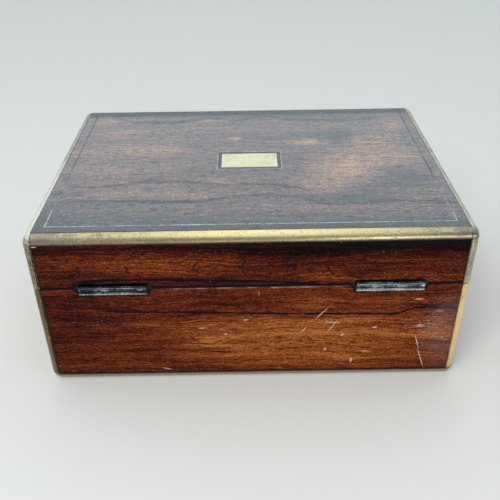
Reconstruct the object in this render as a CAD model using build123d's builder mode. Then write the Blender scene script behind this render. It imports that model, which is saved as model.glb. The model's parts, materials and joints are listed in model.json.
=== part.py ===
from build123d import *
import math
import os

# Brass-bound rosewood stationery box with a level hinged lid, in millimetres.
# It stands on the XY plane, centred on the origin. The lock side faces -Y and the hinges are at +Y,
# so left is -X and right is +X for a person in front of the lock.

os.makedirs("parts", exist_ok=True)

# Outer form
box_width = 305.0
box_depth = 224.0
box_height = 128.0
parting_height = 85.0
brass_radius = 6.5

# Carcass: veneered boards, rebated along every edge for the brass
veneer_thickness = 1.0
wall_backing = 4.5
panel_backing = 2.5
seam_gap = 0.15
corner_gap = 0.45
rim_ease = 0.6

# Inlay in the lid
stringing_inset = 13.2
stringing_width = 0.9
stringing_depth = 0.6
plate_width = 44.1
plate_depth = 24.6
border_width = 2.9
line_width = 0.8

# Interior
liner_thickness = 3.0
lip_height = 4.5
lip_clearance = 0.5
lip_round = 0.9
floor_lining_thickness = 2.0
lid_lining_thickness = 2.0
lid_liner_clearance = 1.5
divider_thickness = 4.0
divider_round = 1.2
divider_drop = 15.0
housing_depth = 1.5
pen_space = 42.0
envelope_space = 92.0

# Stop hinges: two leaves with bevelled noses either side of a five-knuckle barrel
hinge_length = 47.0
hinge_inset = 33.2
leaf_depth = 8.5
leaf_thickness = 1.6
nose_height = 3.8
nose_projection = 2.2
nose_round = 0.5
barrel_radius = 1.5
barrel_clearance = 0.3
axis_projection = 0.6
knuckle_count = 5
knuckle_gap = 0.12
hinge_pin_radius = 0.7
pin_clearance = 0.05
stop_angle = 96.0
mortise_gap = 1.1
mortise_ramp = 4.0
mortise_end_gap = 0.3

# Countersunk screws
screw_radius = 1.1
screw_head_radius = 2.1
screw_head_depth = 1.1
screw_head_land = 0.15
screw_length = 8.0
screw_clearance = 0.06
screw_flats = 12
screw_slot_width = 0.6
screw_slot_depth = 0.5
hinge_screw_spacing = 16.0
hinge_screw_inset = 4.9

# Lock and link plate
lock_depth = 6.0
lock_height = 28.0
lock_wall = 1.2
lock_cover_thickness = 1.0
selvedge_thickness = 1.6
selvedge_width = 7.6
selvedge_end = 7.0
lock_clearance = 0.4
hook_spacing = 20.0
hook_stem = 2.5
hook_beak = 2.6
hook_beak_height = 2.5
hook_drop = 9.5
hook_thickness = 2.2
hook_slot_gap = 0.6
bolt_travel = 3.0
bolt_arm = 2.4
bolt_head_height = 3.0
bolt_body_height = 7.5
bolt_stud_radius = 1.2
bolt_stud_clearance = 0.08
bolt_stud_spacing = 20.0
talon_width = 6.0
talon_height = 3.5
keyhole_radius = 2.2
keyhole_slot_width = 2.0
keyhole_slot_length = 6.0
keyhole_drop = 21.0
keyhole_lining = 0.9
keyhole_lining_depth = 3.0

# Shared places, worked out from the sizes above
half_x = box_width / 2
half_y = box_depth / 2
wall_depth = brass_radius + wall_backing
inner_x = half_x - wall_depth
inner_y = half_y - wall_depth
face_x = half_x - veneer_thickness
face_y = half_y - veneer_thickness
rebate_x = half_x - brass_radius
rebate_y = half_y - brass_radius
board_thickness = wall_depth - veneer_thickness
bottom_top = brass_radius + panel_backing
lid_underside = box_height - brass_radius - panel_backing
lid_rebate = box_height - brass_radius
top_board_top = box_height - veneer_thickness
lip_top = parting_height + lip_height
floor_top = bottom_top + floor_lining_thickness
liner_x = inner_x - liner_thickness
liner_y = inner_y - liner_thickness
divider_top = parting_height - divider_drop
pen_divider_y = -liner_y + pen_space + divider_thickness / 2
envelope_divider_x = liner_x - envelope_space - divider_thickness / 2
hinge_x = half_x - hinge_inset - hinge_length / 2
hinge_axis_y = half_y + axis_projection
sides = {"left": -1, "right": 1}
ends = {"front": -1, "back": 1}


def save(piece, name):
    """Label a finished piece and write it under its name."""
    piece.label = name
    export_step(piece, f"parts/{name}.step")


# The whole outer form, rounded on its twelve edges. Each length of brass is cut from it.
with BuildPart() as outer_form:
    Box(box_width, box_depth, box_height, align=(Align.CENTER, Align.CENTER, Align.MIN))
    fillet(outer_form.edges(), radius=brass_radius)


def moulding(low, high):
    """The length of quarter-round brass that fills one rebate, between two corners of space."""
    size = [b - a for a, b in zip(low, high)]
    centre = tuple((a + b) / 2 for a, b in zip(low, high))
    with BuildPart() as strip:
        add(outer_form.part)
        with Locations(centre):
            Box(*size, mode=Mode.INTERSECT)
    return strip.part


# Brass along the bottom and the top: the end strips turn the corners, the long ones fit between
for level, low_z, high_z in (("bottom", 0, brass_radius), ("top", lid_rebate, box_height)):
    for side, sign in sides.items():
        near, far = sorted((sign * rebate_x, sign * half_x))
        save(moulding((near, -half_y, low_z), (far, half_y, high_z)), f"{level}_{side}_moulding")
    for end, sign in ends.items():
        near, far = sorted((sign * rebate_y, sign * half_y))
        reach = rebate_x - seam_gap
        save(moulding((-reach, near, low_z), (reach, far, high_z)), f"{level}_{end}_moulding")

# Brass down the corners, in two lengths that stop short of the parting line
for part_name, low_z, high_z in (
    ("base", brass_radius + seam_gap, parting_height - corner_gap),
    ("lid", parting_height + corner_gap, lid_rebate - seam_gap),
):
    for end, sign_y in ends.items():
        for side, sign_x in sides.items():
            near_x, far_x = sorted((sign_x * rebate_x, sign_x * half_x))
            near_y, far_y = sorted((sign_y * rebate_y, sign_y * half_y))
            corner = moulding((near_x, near_y, low_z), (far_x, far_y, high_z))
            save(corner, f"{part_name}_corner_{end}_{side}")

# Bottom board: rebated under its edge for the brass and notched at the corners
with BuildPart() as bottom_board:
    with BuildSketch():
        Rectangle(2 * rebate_x, 2 * rebate_y)
    extrude(amount=bottom_top)
    with BuildSketch(Plane.XY.offset(brass_radius)):
        Rectangle(2 * rebate_x, 2 * face_y)
        Rectangle(2 * face_x, 2 * rebate_y)
    extrude(amount=panel_backing)
save(bottom_board.part, "bottom_board")

# Top board of the lid, rebated the same way
with BuildPart() as lid_top_board:
    with BuildSketch(Plane.XY.offset(lid_underside)):
        Rectangle(2 * rebate_x, 2 * rebate_y)
    extrude(amount=top_board_top - lid_underside)
    with BuildSketch(Plane.XY.offset(lid_underside)):
        Rectangle(2 * rebate_x, 2 * face_y)
        Rectangle(2 * face_x, 2 * rebate_y)
    extrude(amount=panel_backing)
save(lid_top_board.part, "lid_top_board")

# Outlines that several pieces share. Hinge mortise in the rim, and in the veneer behind the noses
with BuildSketch(Plane.XY.offset(parting_height)) as hinge_recess:
    with Locations((-hinge_x, half_y - leaf_depth / 2), (hinge_x, half_y - leaf_depth / 2)):
        Rectangle(hinge_length, leaf_depth)

mortise_half = hinge_length / 2 + mortise_end_gap
mortise_rise = nose_height + mortise_gap
with BuildSketch(Plane.XZ.offset(-half_y)) as hinge_mortises:
    for sign in sides.values():
        with BuildLine(mode=Mode.PRIVATE) as mortise_outline:
            Polyline(
                (sign * hinge_x - mortise_half - mortise_ramp, parting_height),
                (sign * hinge_x - mortise_half, parting_height + mortise_rise),
                (sign * hinge_x + mortise_half, parting_height + mortise_rise),
                (sign * hinge_x + mortise_half + mortise_ramp, parting_height),
                (sign * hinge_x + mortise_half, parting_height - mortise_rise),
                (sign * hinge_x - mortise_half, parting_height - mortise_rise),
                close=True,
            )
        make_face(mortise_outline.edges())

# Where the screws go: three in each leaf, two in the lock's selvedge and two in the link plate
hinge_screw_y = half_y - hinge_screw_inset
selvedge_y = -inner_y - selvedge_width / 2
hook_plane_y = -inner_y - (lock_cover_thickness + lock_depth - lock_wall) / 2
hook_lefts = (-hook_spacing / 2, hook_spacing / 2)
bolt_left = hook_lefts[0] - hook_beak - lock_clearance - bolt_travel - bolt_arm
lock_half = -bolt_left + lock_clearance + lock_wall
selvedge_half = lock_half + selvedge_end
selvedge_screw_x = lock_half + selvedge_end / 2
hinge_screw_places = [
    (sign * hinge_x + step * hinge_screw_spacing, hinge_screw_y, parting_height)
    for sign in sides.values()
    for step in (-1, 0, 1)
]
lock_screw_places = [(sign * selvedge_screw_x, selvedge_y, parting_height) for sign in sides.values()]


def screw_form(clearance):
    """A countersunk screw with its head flush at the origin, pointing down; or the hole for one.
    Both are drawn with a few flats, because they are small and there are many."""
    flank = (screw_head_radius - screw_radius) * math.cos(math.pi / screw_flats)
    with BuildPart() as screw:
        with BuildSketch():
            RegularPolygon(screw_head_radius + clearance, screw_flats)
        extrude(amount=-screw_head_depth)
        underside = screw.faces().sort_by(Axis.Z)[0]
        rise = screw_head_depth - screw_head_land
        chamfer(underside.edges(), length=flank, length2=rise, reference=underside)
        with BuildSketch():
            RegularPolygon(screw_radius + clearance, screw_flats)
        extrude(amount=-screw_length - clearance)
    return screw.part


screw_hole = screw_form(screw_clearance)
with BuildPart() as slotted_screw:
    add(screw_form(0))
    with BuildSketch():
        Rectangle(2 * screw_head_radius + screw_clearance, screw_slot_width)
    extrude(amount=-screw_slot_depth, mode=Mode.SUBTRACT)


def screws_at(places, form, upwards):
    """Copies of a screw or of its hole, pointing down into the base or up into the lid."""
    turn = 180 if upwards else 0
    with BuildPart() as group:
        with Locations(*[Location(place, (turn, 0, 0)) for place in places]):
            add(form)
    return group.part


all_screw_places = hinge_screw_places + lock_screw_places
base_screw_holes = screws_at(all_screw_places, screw_hole, False)
lid_screw_holes = screws_at(all_screw_places, screw_hole, True)
save(screws_at(all_screw_places, slotted_screw.part, False), "base_screws")
save(screws_at(all_screw_places, slotted_screw.part, True), "lid_screws")

# Keyhole: round with a slot below it, and the brass lining that is let in round it
keyhole_z = parting_height - keyhole_drop
with BuildSketch(Plane.XZ.offset(half_y)) as keyhole:
    with Locations((0, keyhole_z)):
        Circle(keyhole_radius)
    with Locations((0, keyhole_z - keyhole_slot_length / 2)):
        Rectangle(keyhole_slot_width, keyhole_slot_length)
with BuildSketch(Plane.XZ.offset(half_y)) as keyhole_rim:
    add(keyhole.sketch)
    offset(amount=keyhole_lining, kind=Kind.INTERSECTION)

with BuildPart() as keyhole_escutcheon:
    extrude(keyhole_rim.sketch, amount=-keyhole_lining_depth)
    extrude(keyhole.sketch, amount=-keyhole_lining_depth, mode=Mode.SUBTRACT)
save(keyhole_escutcheon.part, "keyhole_escutcheon")

# Pocket and rebate that the lock sits in
lock_top = parting_height - selvedge_thickness
lock_bottom = lock_top - lock_height
with BuildSketch(Plane.XY.offset(lock_bottom)) as lock_pocket:
    with Locations((0, -inner_y - lock_depth / 2)):
        Rectangle(2 * lock_half, lock_depth)
with BuildSketch(Plane.XY.offset(parting_height)) as selvedge_recess:
    with Locations((0, selvedge_y)):
        Rectangle(2 * selvedge_half, selvedge_width)


def long_wall(sign, low_z, high_z):
    """A front or back board, which runs between the corner rebates."""
    with BuildPart() as board:
        with BuildSketch(Plane.XY.offset(low_z)):
            with Locations((0, sign * (inner_y + face_y) / 2)):
                Rectangle(2 * rebate_x, board_thickness)
        extrude(amount=high_z - low_z)
    return board.part


def end_wall(sign, low_z, high_z):
    """A left or right board. Its outer half laps past the long boards up to the corner rebate."""
    with BuildPart() as board:
        with BuildSketch(Plane.XY.offset(low_z)):
            with Locations((sign * (inner_x + face_x) / 2, 0)):
                Rectangle(board_thickness, 2 * inner_y)
            with Locations((sign * (rebate_x + face_x) / 2, 0)):
                Rectangle(face_x - rebate_x, 2 * rebate_y)
        extrude(amount=high_z - low_z)
    return board.part


for side, sign in sides.items():
    save(end_wall(sign, bottom_top, parting_height), f"base_{side}_board")
    save(end_wall(sign, parting_height, lid_underside), f"lid_{side}_board")

with BuildPart() as base_back_board:
    add(long_wall(1, bottom_top, parting_height))
    extrude(hinge_recess.sketch, amount=-leaf_thickness, mode=Mode.SUBTRACT)
    add(base_screw_holes, mode=Mode.SUBTRACT)
save(base_back_board.part, "base_back_board")

with BuildPart() as lid_back_board:
    add(long_wall(1, parting_height, lid_underside))
    extrude(hinge_recess.sketch, amount=leaf_thickness, mode=Mode.SUBTRACT)
    add(lid_screw_holes, mode=Mode.SUBTRACT)
save(lid_back_board.part, "lid_back_board")

with BuildPart() as base_front_board:
    add(long_wall(-1, bottom_top, parting_height))
    extrude(lock_pocket.sketch, amount=parting_height - lock_bottom, mode=Mode.SUBTRACT)
    extrude(selvedge_recess.sketch, amount=-selvedge_thickness, mode=Mode.SUBTRACT)
    add(base_screw_holes, mode=Mode.SUBTRACT)
    extrude(keyhole_rim.sketch, amount=-keyhole_lining_depth, mode=Mode.SUBTRACT)
    extrude(keyhole.sketch, amount=-wall_depth, mode=Mode.SUBTRACT)
save(base_front_board.part, "base_front_board")

with BuildPart() as lid_front_board:
    add(long_wall(-1, parting_height, lid_underside))
    extrude(selvedge_recess.sketch, amount=selvedge_thickness, mode=Mode.SUBTRACT)
    add(lid_screw_holes, mode=Mode.SUBTRACT)
save(lid_front_board.part, "lid_front_board")


def veneer_sheet(across, sign, low_z, high_z):
    """One sheet of veneer between the brass, its outer edge eased along the parting line.
    across is Axis.Y for the front and back sheets and Axis.X for the ends."""
    long_sheet = across == Axis.Y
    reach, outer = (rebate_x, half_y) if long_sheet else (rebate_y, half_x)
    middle = sign * (outer - veneer_thickness / 2)
    size = (2 * reach, veneer_thickness) if long_sheet else (veneer_thickness, 2 * reach)
    with BuildPart() as sheet:
        with BuildSketch(Plane.XY.offset(low_z)):
            with Locations((0, middle) if long_sheet else (middle, 0)):
                Rectangle(*size)
        extrude(amount=high_z - low_z)
        rim = sheet.edges().filter_by_position(Axis.Z, parting_height, parting_height)
        chamfer(rim.sort_by(across)[-1 if sign > 0 else 0], length=rim_ease)
    return sheet.part


veneer_levels = {
    "base": (brass_radius, parting_height),
    "lid": (parting_height, lid_rebate),
}
for part_name, (low_z, high_z) in veneer_levels.items():
    for side, sign in sides.items():
        sheet = veneer_sheet(Axis.X, sign, low_z, high_z)
        save(sheet, f"{part_name}_{side}_veneer")
    with BuildPart() as back_veneer:
        add(veneer_sheet(Axis.Y, 1, low_z, high_z))
        extrude(hinge_mortises.sketch, amount=veneer_thickness, mode=Mode.SUBTRACT)
    save(back_veneer.part, f"{part_name}_back_veneer")
    with BuildPart() as front_veneer:
        add(veneer_sheet(Axis.Y, -1, low_z, high_z))
        extrude(keyhole_rim.sketch, amount=-veneer_thickness, mode=Mode.SUBTRACT)
    save(front_veneer.part, f"{part_name}_front_veneer")

# Top veneer, grooved for the stringing and cut out for the plate and its border
plate_outline = (plate_width, plate_depth)
border_outline = (plate_width + 2 * border_width, plate_depth + 2 * border_width)
line_outline = (border_outline[0] + 2 * line_width, border_outline[1] + 2 * line_width)
string_outline = (box_width - 2 * stringing_inset, box_depth - 2 * stringing_inset)
string_inner = (string_outline[0] - 2 * stringing_width, string_outline[1] - 2 * stringing_width)


def ring(outline, hole, base_z, thickness):
    """A flat rectangular ring of inlay."""
    with BuildPart() as band:
        with BuildSketch(Plane.XY.offset(base_z)):
            Rectangle(*outline)
            Rectangle(*hole, mode=Mode.SUBTRACT)
        extrude(amount=thickness)
    return band.part


stringing = ring(string_outline, string_inner, box_height - stringing_depth, stringing_depth)
with BuildPart() as lid_top_veneer:
    with BuildSketch(Plane.XY.offset(top_board_top)):
        Rectangle(2 * rebate_x, 2 * rebate_y)
        Rectangle(*line_outline, mode=Mode.SUBTRACT)
    extrude(amount=veneer_thickness)
    add(stringing, mode=Mode.SUBTRACT)
save(lid_top_veneer.part, "lid_top_veneer")
save(stringing, "lid_stringing")
save(ring(line_outline, border_outline, top_board_top, veneer_thickness), "plate_line")
save(ring(border_outline, plate_outline, top_board_top, veneer_thickness), "plate_border")

with BuildPart() as name_plate:
    with BuildSketch(Plane.XY.offset(top_board_top)):
        Rectangle(*plate_outline)
    extrude(amount=veneer_thickness)
save(name_plate.part, "name_plate")


def liner_board(along_x, sign):
    """A liner inside a base wall. Above the rim it is set back so that the lid clears it."""
    reach = inner_x if along_x else liner_y
    outer = inner_y if along_x else inner_x
    lip_reach = reach - lip_clearance if along_x else reach
    lip_thickness = liner_thickness - lip_clearance
    board_middle = sign * (outer - liner_thickness / 2)
    lip_middle = sign * (outer - lip_clearance - lip_thickness / 2)
    with BuildPart() as board:
        with BuildSketch(Plane.XY.offset(bottom_top)):
            with Locations((0, board_middle) if along_x else (board_middle, 0)):
                Rectangle(*((2 * reach, liner_thickness) if along_x else (liner_thickness, 2 * reach)))
        extrude(amount=parting_height - bottom_top)
        with BuildSketch(Plane.XY.offset(parting_height)):
            with Locations((0, lip_middle) if along_x else (lip_middle, 0)):
                Rectangle(*((2 * lip_reach, lip_thickness) if along_x else (lip_thickness, 2 * lip_reach)))
        extrude(amount=lip_height)
        top_edges = board.edges().filter_by_position(Axis.Z, lip_top, lip_top)
        fillet(top_edges.filter_by(Axis.X if along_x else Axis.Y), radius=lip_round)
    return board.part


# Outlines of the dividers, with ends long enough to be housed in what they meet
divider_rise = divider_top - floor_top
with BuildPart() as pen_divider:
    with BuildSketch(Plane.XY.offset(floor_top)):
        with Locations((0, pen_divider_y)):
            Rectangle(2 * (liner_x + housing_depth), divider_thickness)
    extrude(amount=divider_rise)
    top_edges = pen_divider.edges().filter_by_position(Axis.Z, divider_top, divider_top)
    fillet(top_edges.filter_by(Axis.X), radius=divider_round)

envelope_front = pen_divider_y + divider_thickness / 2 - housing_depth
envelope_back = liner_y + housing_depth
with BuildPart() as envelope_divider:
    with BuildSketch(Plane.XY.offset(floor_top)):
        with Locations((envelope_divider_x, (envelope_front + envelope_back) / 2)):
            Rectangle(divider_thickness, envelope_back - envelope_front)
    extrude(amount=divider_rise)
    top_edges = envelope_divider.edges().filter_by_position(Axis.Z, divider_top, divider_top)
    fillet(top_edges.filter_by(Axis.Y), radius=divider_round)
save(envelope_divider.part, "envelope_divider")

with BuildPart() as housed_pen_divider:
    add(pen_divider.part)
    add(envelope_divider.part, mode=Mode.SUBTRACT)
save(housed_pen_divider.part, "pen_divider")

for side, sign in sides.items():
    with BuildPart() as side_liner:
        add(liner_board(False, sign))
        add(pen_divider.part, mode=Mode.SUBTRACT)
    save(side_liner.part, f"base_{side}_liner")
for end, sign in ends.items():
    with BuildPart() as end_liner:
        add(liner_board(True, sign))
        add(envelope_divider.part, mode=Mode.SUBTRACT)
    save(end_liner.part, f"base_{end}_liner")

with BuildPart() as floor_lining:
    with BuildSketch(Plane.XY.offset(bottom_top)):
        Rectangle(2 * liner_x, 2 * liner_y)
    extrude(amount=floor_lining_thickness)
save(floor_lining.part, "floor_lining")

# Lining of the lid: a panel under the top board and four thin liners above the base's lip
lid_liner_low = lip_top + lid_liner_clearance
lining_underside = lid_underside - lid_lining_thickness
with BuildPart() as lid_lining_panel:
    with BuildSketch(Plane.XY.offset(lining_underside)):
        Rectangle(2 * inner_x, 2 * inner_y)
    extrude(amount=lid_lining_thickness)
save(lid_lining_panel.part, "lid_lining_panel")

with BuildPart() as lid_liner:
    with BuildSketch(Plane.XY.offset(lid_liner_low)):
        with GridLocations(0, 2 * inner_y - liner_thickness, 1, 2):
            Rectangle(2 * inner_x, liner_thickness)
    extrude(amount=lining_underside - lid_liner_low)
    low_edges = lid_liner.edges().filter_by_position(Axis.Z, lid_liner_low, lid_liner_low)
    fillet(low_edges.filter_by(Axis.X).sort_by(Axis.Y)[1:3], radius=lip_round)
long_lid_liners = lid_liner.part
with BuildPart() as short_lid_liners:
    with BuildSketch(Plane.XY.offset(lid_liner_low)):
        with GridLocations(2 * inner_x - liner_thickness, 0, 2, 1):
            Rectangle(liner_thickness, 2 * liner_y)
    extrude(amount=lining_underside - lid_liner_low)
    low_edges = short_lid_liners.edges().filter_by_position(Axis.Z, lid_liner_low, lid_liner_low)
    fillet(low_edges.filter_by(Axis.Y).sort_by(Axis.X)[1:3], radius=lip_round)
save(Compound(children=[*long_lid_liners.solids(), *short_lid_liners.part.solids()]), "lid_liner")

# Hinge leaves. Sections are drawn in a plane across the hinge, with the axis at its origin.
hinge_plane = Plane(origin=(0, hinge_axis_y, parting_height), x_dir=(0, 1, 0), z_dir=(1, 0, 0))
knuckle_length = hinge_length / knuckle_count
bevel = math.tan(math.radians(stop_angle / 2))
nose_front = nose_projection - axis_projection
nose_back = -axis_projection - veneer_thickness
leaf_back = -axis_projection - leaf_depth


def leaf_section(sign):
    """Section of a leaf: plate in the rim, nose behind the back face, bevelled towards the axis."""
    with BuildSketch(hinge_plane) as section:
        with BuildLine():
            Polyline(
                (0, 0),
                (nose_front, sign * nose_front * bevel),
                (nose_front, sign * nose_height),
                (nose_back, sign * nose_height),
                (nose_back, sign * leaf_thickness),
                (leaf_back, sign * leaf_thickness),
                (leaf_back, 0),
                close=True,
            )
        make_face()
        tips = section.vertices().filter_by_position(Axis.Y, sign * nose_height, sign * nose_height)
        fillet(tips.sort_by(Axis.X)[-1], radius=nose_round)
    return section.sketch


def leaf(sign, centre_x, screw_holes):
    """A hinge leaf. The lower one, sign -1, has the even knuckles and the upper one the odd."""
    own_first = 1 if sign < 0 else 0
    start = -hinge_length / 2
    with BuildPart() as piece:
        extrude(leaf_section(sign), amount=hinge_length / 2, both=True)
        for index in range(knuckle_count):
            low = start + index * knuckle_length
            own = index % 2 == own_first
            shrink = knuckle_gap / 2 if own else -knuckle_gap / 2
            with BuildSketch(hinge_plane.offset(low + shrink)):
                Circle(barrel_radius if own else barrel_radius + barrel_clearance)
            extrude(amount=knuckle_length - 2 * shrink, mode=Mode.ADD if own else Mode.SUBTRACT)
        with BuildSketch(hinge_plane.offset(start)):
            Circle(hinge_pin_radius + pin_clearance)
        extrude(amount=hinge_length, mode=Mode.SUBTRACT)
    with BuildPart() as placed:
        with Locations((centre_x, 0, 0)):
            add(piece.part)
        add(screw_holes, mode=Mode.SUBTRACT)
    return placed.part


for side, sign in sides.items():
    save(leaf(-1, sign * hinge_x, base_screw_holes), f"hinge_{side}_lower_leaf")
    save(leaf(1, sign * hinge_x, lid_screw_holes), f"hinge_{side}_upper_leaf")

with BuildPart() as hinge_pins:
    with BuildSketch(hinge_plane.offset(-hinge_length / 2)) as pin_section:
        Circle(hinge_pin_radius)
    pin_form = extrude(pin_section.sketch, amount=hinge_length, mode=Mode.PRIVATE)
    with Locations((-hinge_x, 0, 0), (hinge_x, 0, 0)):
        add(pin_form)
save(hinge_pins.part, "hinge_pins")

# Lock case: selvedge on top, five-sided case below it, two studs that the bolt slides on
case_front = -inner_y - lock_depth
cover_y = -inner_y - lock_cover_thickness
cavity_depth = lock_depth - lock_wall - lock_cover_thickness
beak_top = parting_height - hook_drop + hook_beak_height
bolt_head_low = beak_top + lock_clearance
bolt_body_top = parting_height - hook_drop - lock_clearance
bolt_body_low = bolt_body_top - bolt_body_height
bolt_right = -bolt_left - bolt_travel
stud_z = (bolt_body_low + bolt_body_top) / 2
stud_xs = (-bolt_stud_spacing / 2, bolt_stud_spacing / 2)

with BuildPart() as lock_case:
    extrude(selvedge_recess.sketch, amount=-selvedge_thickness)
    with BuildSketch(Plane.XZ.offset(-case_front)):
        with Locations((0, (lock_bottom + lock_top) / 2)):
            Rectangle(2 * lock_half, lock_height)
    extrude(amount=-(lock_depth - lock_cover_thickness))
    with BuildSketch(Plane.XZ.offset(-cover_y)):
        with Locations((0, (lock_bottom + lock_wall + lock_top) / 2)):
            Rectangle(2 * (lock_half - lock_wall), lock_height - lock_wall)
    extrude(amount=cavity_depth, mode=Mode.SUBTRACT)
    with BuildSketch(Plane.XZ.offset(-cover_y)):
        with Locations(*[(x, stud_z) for x in stud_xs]):
            Circle(bolt_stud_radius)
    extrude(amount=cavity_depth)
    extrude(keyhole.sketch, amount=-(half_y + case_front + lock_wall), mode=Mode.SUBTRACT)
    with BuildSketch(Plane.XY.offset(parting_height)):
        for hook_left in hook_lefts:
            with Locations((hook_left + (hook_stem - hook_beak) / 2, hook_plane_y)):
                Rectangle(hook_stem + hook_beak + 2 * hook_slot_gap, hook_thickness + 2 * hook_slot_gap)
    extrude(amount=-selvedge_thickness, mode=Mode.SUBTRACT)
    add(base_screw_holes, mode=Mode.SUBTRACT)
save(lock_case.part, "lock_case")

with BuildPart() as lock_cover:
    with BuildSketch(Plane.XZ.offset(inner_y)):
        with Locations((0, (lock_bottom + lock_top) / 2)):
            Rectangle(2 * lock_half, lock_height)
    extrude(amount=lock_cover_thickness)
save(lock_cover.part, "lock_cover")

# Sliding bolt: a plate with two hooked fingers, two stud slots and the notch that the key turns in
with BuildPart() as lock_bolt:
    with BuildSketch(Plane.XZ.offset(-hook_plane_y - hook_thickness / 2)):
        with Locations(((bolt_left + bolt_right) / 2, stud_z)):
            Rectangle(bolt_right - bolt_left, bolt_body_height)
        for hook_left in hook_lefts:
            arm_left = hook_left + bolt_left - hook_lefts[0]
            head_right = hook_left - lock_clearance - bolt_travel
            with BuildLine():
                Polyline(
                    (arm_left, stud_z),
                    (arm_left + bolt_arm, stud_z),
                    (arm_left + bolt_arm, bolt_head_low),
                    (head_right, bolt_head_low),
                    (head_right, bolt_head_low + bolt_head_height),
                    (arm_left, bolt_head_low + bolt_head_height),
                    close=True,
                )
            make_face()
        slot_length = bolt_travel + 2 * (bolt_stud_radius + bolt_stud_clearance)
        with Locations(*[(x - bolt_travel / 2, stud_z) for x in stud_xs]):
            SlotOverall(slot_length, 2 * (bolt_stud_radius + bolt_stud_clearance), mode=Mode.SUBTRACT)
        with Locations((-bolt_travel / 2, bolt_body_low + talon_height / 2)):
            Rectangle(talon_width, talon_height, mode=Mode.SUBTRACT)
    extrude(amount=hook_thickness)
save(lock_bolt.part, "lock_bolt")

# Link plate in the lid, with two hooks that drop through the selvedge
with BuildPart() as lock_keep:
    extrude(selvedge_recess.sketch, amount=selvedge_thickness)
    add(lid_screw_holes, mode=Mode.SUBTRACT)
    with BuildSketch(Plane.XZ.offset(-hook_plane_y - hook_thickness / 2)) as hooks:
        for hook_left in hook_lefts:
            with BuildLine():
                Polyline(
                    (hook_left + hook_stem, parting_height + selvedge_thickness / 2),
                    (hook_left, parting_height + selvedge_thickness / 2),
                    (hook_left, beak_top),
                    (hook_left - hook_beak, beak_top),
                    (hook_left - hook_beak, parting_height - hook_drop),
                    (hook_left + hook_stem, parting_height - hook_drop),
                    close=True,
                )
            make_face()
    extrude(amount=hook_thickness)
save(lock_keep.part, "lock_keep")
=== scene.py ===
import functools
import json
import math

import bpy
from mathutils import Matrix, Vector, noise

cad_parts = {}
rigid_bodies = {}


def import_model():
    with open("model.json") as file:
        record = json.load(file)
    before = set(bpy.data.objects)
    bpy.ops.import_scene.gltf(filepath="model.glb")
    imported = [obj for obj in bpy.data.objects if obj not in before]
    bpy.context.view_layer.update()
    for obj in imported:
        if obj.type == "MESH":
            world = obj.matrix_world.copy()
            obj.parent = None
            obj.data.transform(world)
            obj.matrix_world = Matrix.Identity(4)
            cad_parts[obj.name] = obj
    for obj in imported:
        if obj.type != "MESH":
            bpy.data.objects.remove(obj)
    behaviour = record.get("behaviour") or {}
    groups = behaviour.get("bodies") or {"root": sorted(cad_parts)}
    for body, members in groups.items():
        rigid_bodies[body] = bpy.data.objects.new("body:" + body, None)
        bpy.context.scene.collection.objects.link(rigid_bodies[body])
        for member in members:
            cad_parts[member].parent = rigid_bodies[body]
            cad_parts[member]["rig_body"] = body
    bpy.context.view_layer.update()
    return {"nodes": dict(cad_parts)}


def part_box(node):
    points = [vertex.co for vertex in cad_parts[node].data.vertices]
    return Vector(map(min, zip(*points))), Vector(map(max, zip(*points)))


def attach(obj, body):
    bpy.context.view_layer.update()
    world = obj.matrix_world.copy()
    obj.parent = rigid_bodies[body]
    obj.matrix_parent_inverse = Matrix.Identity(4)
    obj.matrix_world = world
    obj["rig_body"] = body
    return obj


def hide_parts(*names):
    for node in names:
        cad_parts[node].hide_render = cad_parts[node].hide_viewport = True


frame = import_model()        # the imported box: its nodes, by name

# A brass-bound rosewood stationery box, dressed for the camera. It stands on the XY plane with its
# lock at -Y and its hinges at +Y, which is the side that the camera sees.

MM = 0.001
scene = bpy.context.scene
scene.view_settings.view_transform = "Standard"

# Camera: behind the box and a little above it, in metres and degrees
camera_place = (0.00173, 0.4717, 0.3533)
camera_down = 33.427
camera_heading = 179.863
camera_tilt = -0.8245
lens_length = 46.68
bpy.ops.object.camera_add(location=camera_place)
camera = bpy.context.object
camera.name = "camera"
camera.data.lens = lens_length
camera.data.sensor_width = 36.0
camera.rotation_euler = (
    Matrix.Rotation(math.radians(camera_heading), 3, "Z")
    @ Matrix.Rotation(math.radians(90 - camera_down), 3, "X")
    @ Matrix.Rotation(math.radians(camera_tilt), 3, "Z")
).to_euler()
scene.camera = camera

# Places shared by the pieces and the finishes, read from the frame, in metres
left_low, left_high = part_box("top_left_moulding")
half_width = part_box("top_right_moulding")[1].x
half_depth = left_high.y
box_height = left_high.z
brass_radius = left_high.x - left_low.x
rebate_x, rebate_y = half_width - brass_radius, half_depth - brass_radius
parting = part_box("base_back_board")[1].z
back_seen = half_width / MM          # millimetres from the middle to the edge that is left in view


def linear(hex_colour):
    """An sRGB hex colour as linear red, green, blue and full alpha."""
    channels = [int(hex_colour[i:i + 2], 16) / 255 for i in (1, 3, 5)]
    return (*(c / 12.92 if c <= 0.04045 else ((c + 0.055) / 1.055) ** 2.4 for c in channels), 1.0)


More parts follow.
